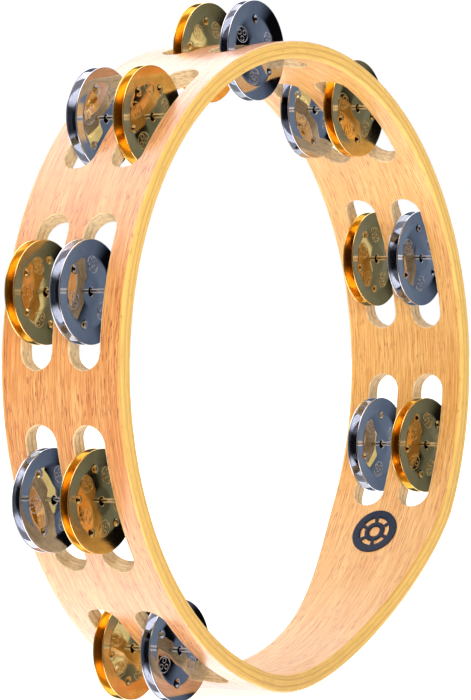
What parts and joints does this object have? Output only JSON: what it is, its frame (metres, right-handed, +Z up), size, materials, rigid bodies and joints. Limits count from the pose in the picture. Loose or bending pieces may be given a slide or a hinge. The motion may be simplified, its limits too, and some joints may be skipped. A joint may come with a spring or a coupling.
{
  "type": "tambourine",
  "caption": "Headless wooden tambourine: a bent plywood hoop with a scooped hand grip and rows of slots, each holding a loose pair of brass or steel jingles on a steel pin.",
  "frame": {"origin": "under the middle of the whole object, on the surface it stands on", "axes": "+Z up; +Y along the axis of the hoop towards its rear edge, so the front edge faces -Y; +X to the right seen from the front"},
  "size_m": [0.2802, 0.0544, 0.2703],
  "materials": {
    "plywood": "clear satin lacquer over straight-grained plywood, paler glued plies on the edges",
    "jingle_brass": "bright polished sheet brass with pressed dimples and stamps",
    "jingle_steel": "bright polished sheet steel with pressed dimples and stamps",
    "pin_steel": "drawn bright steel wire",
    "badge_ink": "printed navy blue transfer"
  },
  "bodies": {
    "hoop": {"hoop": "plywood", "badge": "badge_ink", "pin_1": "pin_steel", "pin_2": "pin_steel", "pin_3": "pin_steel", "pin_4": "pin_steel", "pin_5": "pin_steel", "pin_6": "pin_steel", "pin_7": "pin_steel", "pin_8": "pin_steel"},
    "jingle_1_front_a": {"jingle_1_front_a": "jingle_brass"},
    "jingle_1_front_b": {"jingle_1_front_b": "jingle_brass"},
    "jingle_1_rear_a": {"jingle_1_rear_a": "jingle_steel"},
    "jingle_1_rear_b": {"jingle_1_rear_b": "jingle_steel"},
    "jingle_2_front_a": {"jingle_2_front_a": "jingle_steel"},
    "jingle_2_front_b": {"jingle_2_front_b": "jingle_steel"},
    "jingle_2_rear_a": {"jingle_2_rear_a": "jingle_brass"},
    "jingle_2_rear_b": {"jingle_2_rear_b": "jingle_brass"},
    "jingle_3_front_a": {"jingle_3_front_a": "jingle_brass"},
    "jingle_3_front_b": {"jingle_3_front_b": "jingle_brass"},
    "jingle_3_rear_a": {"jingle_3_rear_a": "jingle_steel"},
    "jingle_3_rear_b": {"jingle_3_rear_b": "jingle_steel"},
    "jingle_4_front_a": {"jingle_4_front_a": "jingle_steel"},
    "jingle_4_front_b": {"jingle_4_front_b": "jingle_steel"},
    "jingle_4_rear_a": {"jingle_4_rear_a": "jingle_brass"},
    "jingle_4_rear_b": {"jingle_4_rear_b": "jingle_brass"},
    "jingle_5_front_a": {"jingle_5_front_a": "jingle_brass"},
    "jingle_5_front_b": {"jingle_5_front_b": "jingle_brass"},
    "jingle_5_rear_a": {"jingle_5_rear_a": "jingle_steel"},
    "jingle_5_rear_b": {"jingle_5_rear_b": "jingle_steel"},
    "jingle_6_front_a": {"jingle_6_front_a": "jingle_steel"},
    "jingle_6_front_b": {"jingle_6_front_b": "jingle_steel"},
    "jingle_6_rear_a": {"jingle_6_rear_a": "jingle_brass"},
    "jingle_6_rear_b": {"jingle_6_rear_b": "jingle_brass"},
    "jingle_7_front_a": {"jingle_7_front_a": "jingle_brass"},
    "jingle_7_front_b": {"jingle_7_front_b": "jingle_brass"},
    "jingle_7_rear_a": {"jingle_7_rear_a": "jingle_steel"},
    "jingle_7_rear_b": {"jingle_7_rear_b": "jingle_steel"},
    "jingle_8_front_a": {"jingle_8_front_a": "jingle_steel"},
    "jingle_8_front_b": {"jingle_8_front_b": "jingle_steel"},
    "jingle_8_rear_a": {"jingle_8_rear_a": "jingle_brass"},
    "jingle_8_rear_b": {"jingle_8_rear_b": "jingle_brass"}
  },
  "joints": [
    {"name": "slide_1_front_a", "type": "slide", "parent": "hoop", "child": "jingle_1_front_a", "axis": [0, 1, 0], "range_m": [-0.0065, 0.0006]},
    {"name": "slide_1_front_b", "type": "slide", "parent": "hoop", "child": "jingle_1_front_b", "axis": [0, 1, 0], "range_m": [-0.0006, 0.0004]},
    {"name": "slide_1_rear_a", "type": "slide", "parent": "hoop", "child": "jingle_1_rear_a", "axis": [0, 1, 0], "range_m": [-0.0071, 0.0005]},
    {"name": "slide_1_rear_b", "type": "slide", "parent": "hoop", "child": "jingle_1_rear_b", "axis": [0, 1, 0], "range_m": [-0.0005, 0.0009]},
    {"name": "slide_2_front_a", "type": "slide", "parent": "hoop", "child": "jingle_2_front_a", "axis": [0, 1, 0], "range_m": [-0.0067, 0.0004]},
    {"name": "slide_2_front_b", "type": "slide", "parent": "hoop", "child": "jingle_2_front_b", "axis": [0, 1, 0], "range_m": [-0.0004, 0.001]},
    {"name": "slide_2_rear_a", "type": "slide", "parent": "hoop", "child": "jingle_2_rear_a", "axis": [0, 1, 0], "range_m": [-0.0069, 0.0005]},
    {"name": "slide_2_rear_b", "type": "slide", "parent": "hoop", "child": "jingle_2_rear_b", "axis": [0, 1, 0], "range_m": [-0.0005, 0.001]},
    {"name": "slide_3_front_a", "type": "slide", "parent": "hoop", "child": "jingle_3_front_a", "axis": [0, 1, 0], "range_m": [-0.0072, 0.0005]},
    {"name": "slide_3_front_b", "type": "slide", "parent": "hoop", "child": "jingle_3_front_b", "axis": [0, 1, 0], "range_m": [-0.0005, 0.0007]},
    {"name": "slide_3_rear_a", "type": "slide", "parent": "hoop", "child": "jingle_3_rear_a", "axis": [0, 1, 0], "range_m": [-0.0062, 0.0005]},
    {"name": "slide_3_rear_b", "type": "slide", "parent": "hoop", "child": "jingle_3_rear_b", "axis": [0, 1, 0], "range_m": [-0.0005, 0.0016]},
    {"name": "slide_4_front_a", "type": "slide", "parent": "hoop", "child": "jingle_4_front_a", "axis": [0, 1, 0], "range_m": [-0.0071, 0.0005]},
    {"name": "slide_4_front_b", "type": "slide", "parent": "hoop", "child": "jingle_4_front_b", "axis": [0, 1, 0], "range_m": [-0.0005, 0.0007]},
    {"name": "slide_4_rear_a", "type": "slide", "parent": "hoop", "child": "jingle_4_rear_a", "axis": [0, 1, 0], "range_m": [-0.0073, 0.0005]},
    {"name": "slide_4_rear_b", "type": "slide", "parent": "hoop", "child": "jingle_4_rear_b", "axis": [0, 1, 0], "range_m": [-0.0005, 0.0005]},
    {"name": "slide_5_front_a", "type": "slide", "parent": "hoop", "child": "jingle_5_front_a", "axis": [0, 1, 0], "range_m": [-0.0073, 0.0005]},
    {"name": "slide_5_front_b", "type": "slide", "parent": "hoop", "child": "jingle_5_front_b", "axis": [0, 1, 0], "range_m": [-0.0005, 0.0004]},
    {"name": "slide_5_rear_a", "type": "slide", "parent": "hoop", "child": "jingle_5_rear_a", "axis": [0, 1, 0], "range_m": [-0.0072, 0.0004]},
    {"name": "slide_5_rear_b", "type": "slide", "parent": "hoop", "child": "jingle_5_rear_b", "axis": [0, 1, 0], "range_m": [-0.0004, 0.0008]},
    {"name": "slide_6_front_a", "type": "slide", "parent": "hoop", "child": "jingle_6_front_a", "axis": [0, 1, 0], "range_m": [-0.007, 0.0005]},
    {"name": "slide_6_front_b", "type": "slide", "parent": "hoop", "child": "jingle_6_front_b", "axis": [0, 1, 0], "range_m": [-0.0005, 0.0007]},
    {"name": "slide_6_rear_a", "type": "slide", "parent": "hoop", "child": "jingle_6_rear_a", "axis": [0, 1, 0], "range_m": [-0.006, 0.0006]},
    {"name": "slide_6_rear_b", "type": "slide", "parent": "hoop", "child": "jingle_6_rear_b", "axis": [0, 1, 0], "range_m": [-0.0006, 0.002]},
    {"name": "slide_7_front_a", "type": "slide", "parent": "hoop", "child": "jingle_7_front_a", "axis": [0, 1, 0], "range_m": [-0.0064, 0.0004]},
    {"name": "slide_7_front_b", "type": "slide", "parent": "hoop", "child": "jingle_7_front_b", "axis": [0, 1, 0], "range_m": [-0.0004, 0.0006]},
    {"name": "slide_7_rear_a", "type": "slide", "parent": "hoop", "child": "jingle_7_rear_a", "axis": [0, 1, 0], "range_m": [-0.0063, 0.0004]},
    {"name": "slide_7_rear_b", "type": "slide", "parent": "hoop", "child": "jingle_7_rear_b", "axis": [0, 1, 0], "range_m": [-0.0004, 0.0007]},
    {"name": "slide_8_front_a", "type": "slide", "parent": "hoop", "child": "jingle_8_front_a", "axis": [0, 1, 0], "range_m": [-0.0066, 0.0005]},
    {"name": "slide_8_front_b", "type": "slide", "parent": "hoop", "child": "jingle_8_front_b", "axis": [0, 1, 0], "range_m": [-0.0005, 0.0005]},
    {"name": "slide_8_rear_a", "type": "slide", "parent": "hoop", "child": "jingle_8_rear_a", "axis": [0, 1, 0], "range_m": [-0.0069, 0.0005]},
    {"name": "slide_8_rear_b", "type": "slide", "parent": "hoop", "child": "jingle_8_rear_b", "axis": [0, 1, 0], "range_m": [-0.0005, 0.0004]}
  ]
}
